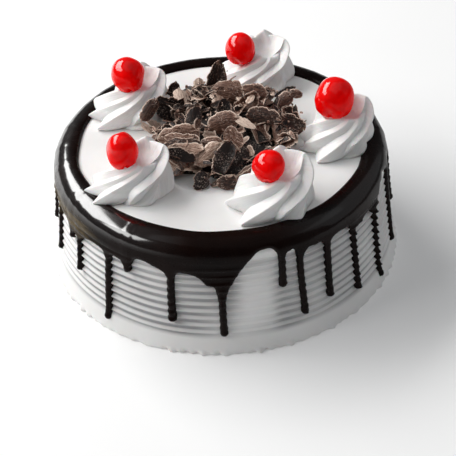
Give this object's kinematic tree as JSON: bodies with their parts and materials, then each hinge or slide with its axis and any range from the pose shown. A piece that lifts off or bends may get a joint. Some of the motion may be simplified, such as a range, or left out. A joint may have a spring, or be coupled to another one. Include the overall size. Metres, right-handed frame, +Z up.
{
  "type": "cake",
  "caption": "Round cream cake with combed sides, a dark dripping glaze ring, piped cream rosettes with cherries and a heap of chocolate shavings.",
  "frame": {"origin": "centre of the base, on the surface that the cake stands on", "axes": "+Z up, -Y towards the side that the picture shows in front"},
  "size_m": [0.2126, 0.2122, 0.1141],
  "materials": {
    "cream": "soft matte whipped cream, combed in fine ridges",
    "glaze": "glossy near-black chocolate glaze",
    "piped_cream": "soft satin whipped cream, piped in ribs",
    "cherry": "wet glossy candied fruit, slightly translucent",
    "chocolate": "dull scraped dark chocolate with pale dusty edges"
  },
  "bodies": {
    "root": {"cake": "cream", "ganache": "glaze", "rosette_1": "piped_cream", "rosette_2": "piped_cream", "rosette_3": "piped_cream", "rosette_4": "piped_cream", "rosette_5": "piped_cream", "cherry_1": "cherry", "cherry_2": "cherry", "cherry_3": "cherry", "cherry_4": "cherry", "cherry_5": "cherry", "shavings": "chocolate"}
  },
  "joints": []
}
